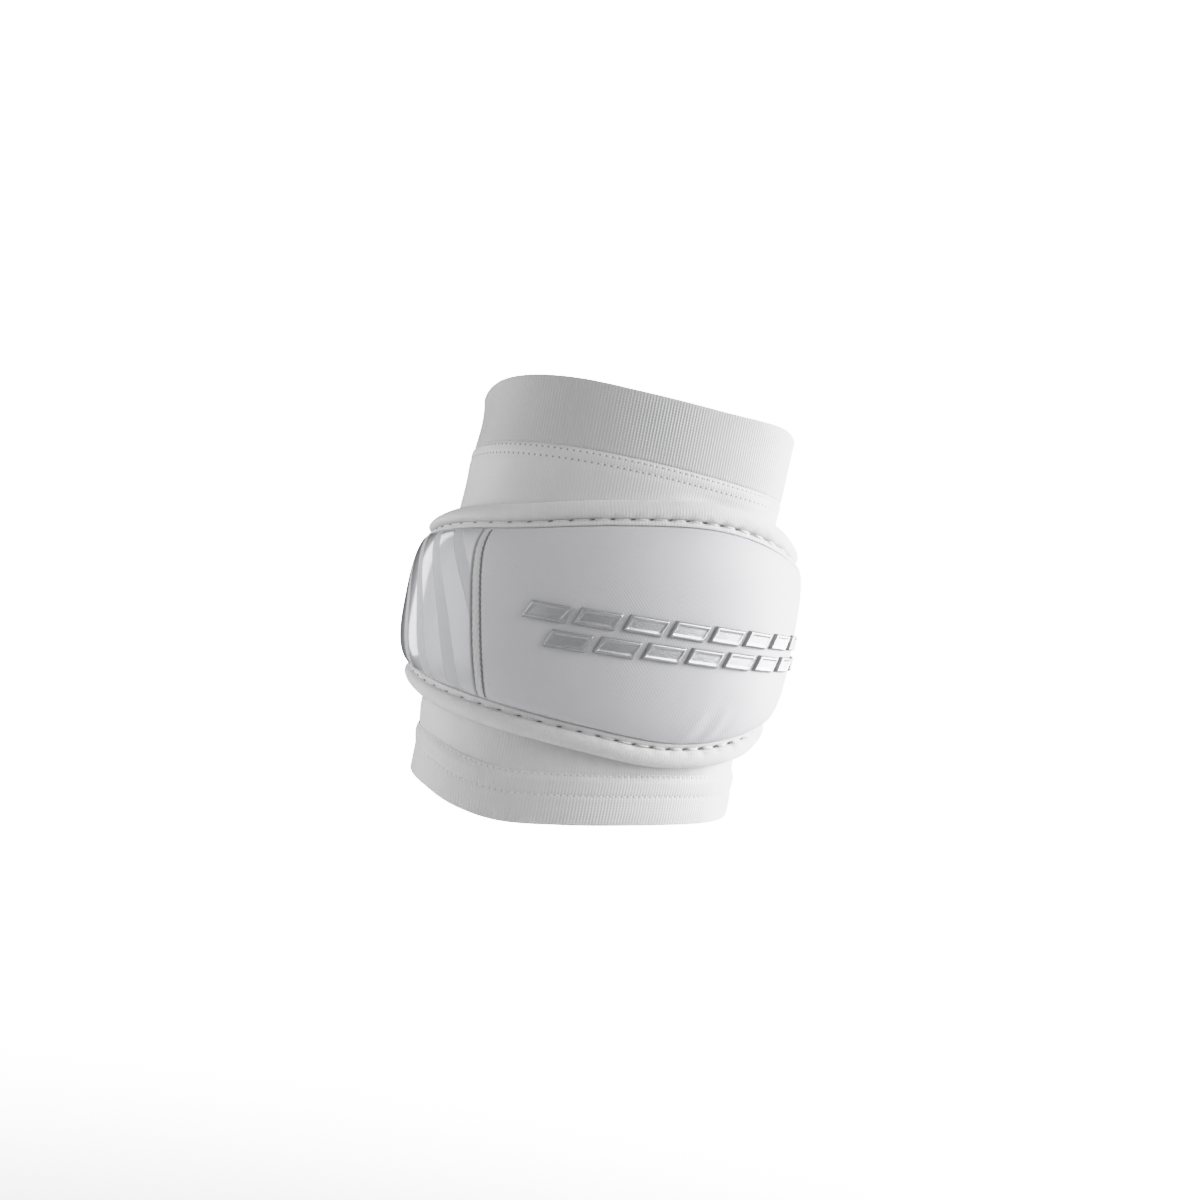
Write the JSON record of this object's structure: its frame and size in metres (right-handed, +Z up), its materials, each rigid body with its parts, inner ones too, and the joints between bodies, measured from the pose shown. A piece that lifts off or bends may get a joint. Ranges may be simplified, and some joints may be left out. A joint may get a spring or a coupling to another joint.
{
  "type": "elbow pad",
  "caption": "Padded sport elbow guard in its worn form: open knit sleeve, domed foam pad in a soft sewn border, glossy side cap and raised silver bars.",
  "frame": {"origin": "middle of the arm inside the sleeve, level with the middle of the pad, where the guard sits on the elbow", "axes": "+Z up along the arm towards the cuff, -Y towards the front of the pad, +X to the right as seen from the front"},
  "size_m": [0.149, 0.1273, 0.1617],
  "materials": {
    "knit": "white ribbed stretch knit, matte",
    "border_cloth": "white padded stretch cloth, sewn, matte",
    "panel_cloth": "white coated cloth over foam, smooth and softly matte",
    "gloss_cap": "white moulded soft plastic, high gloss",
    "strip_cloth": "white sewn strip with grey thread",
    "silver_trim": "raised silver-coloured plastic, satin metallic"
  },
  "bodies": {
    "root": {"sleeve": "knit", "upper_cuff": "knit", "lower_hem": "knit", "border_roll": "border_cloth", "border_welt": "border_cloth", "main_panel": "panel_cloth", "cap_panel": "gloss_cap", "seam_strip": "strip_cloth", "accent_bar_upper_1": "silver_trim", "accent_bar_upper_2": "silver_trim", "accent_bar_upper_3": "silver_trim", "accent_bar_upper_4": "silver_trim", "accent_bar_upper_5": "silver_trim", "accent_bar_upper_6": "silver_trim", "accent_bar_upper_7": "silver_trim", "accent_bar_upper_8": "silver_trim", "accent_bar_lower_1": "silver_trim", "accent_bar_lower_2": "silver_trim", "accent_bar_lower_3": "silver_trim", "accent_bar_lower_4": "silver_trim", "accent_bar_lower_5": "silver_trim", "accent_bar_lower_6": "silver_trim", "accent_bar_lower_7": "silver_trim", "accent_bar_lower_8": "silver_trim"}
  },
  "joints": []
}
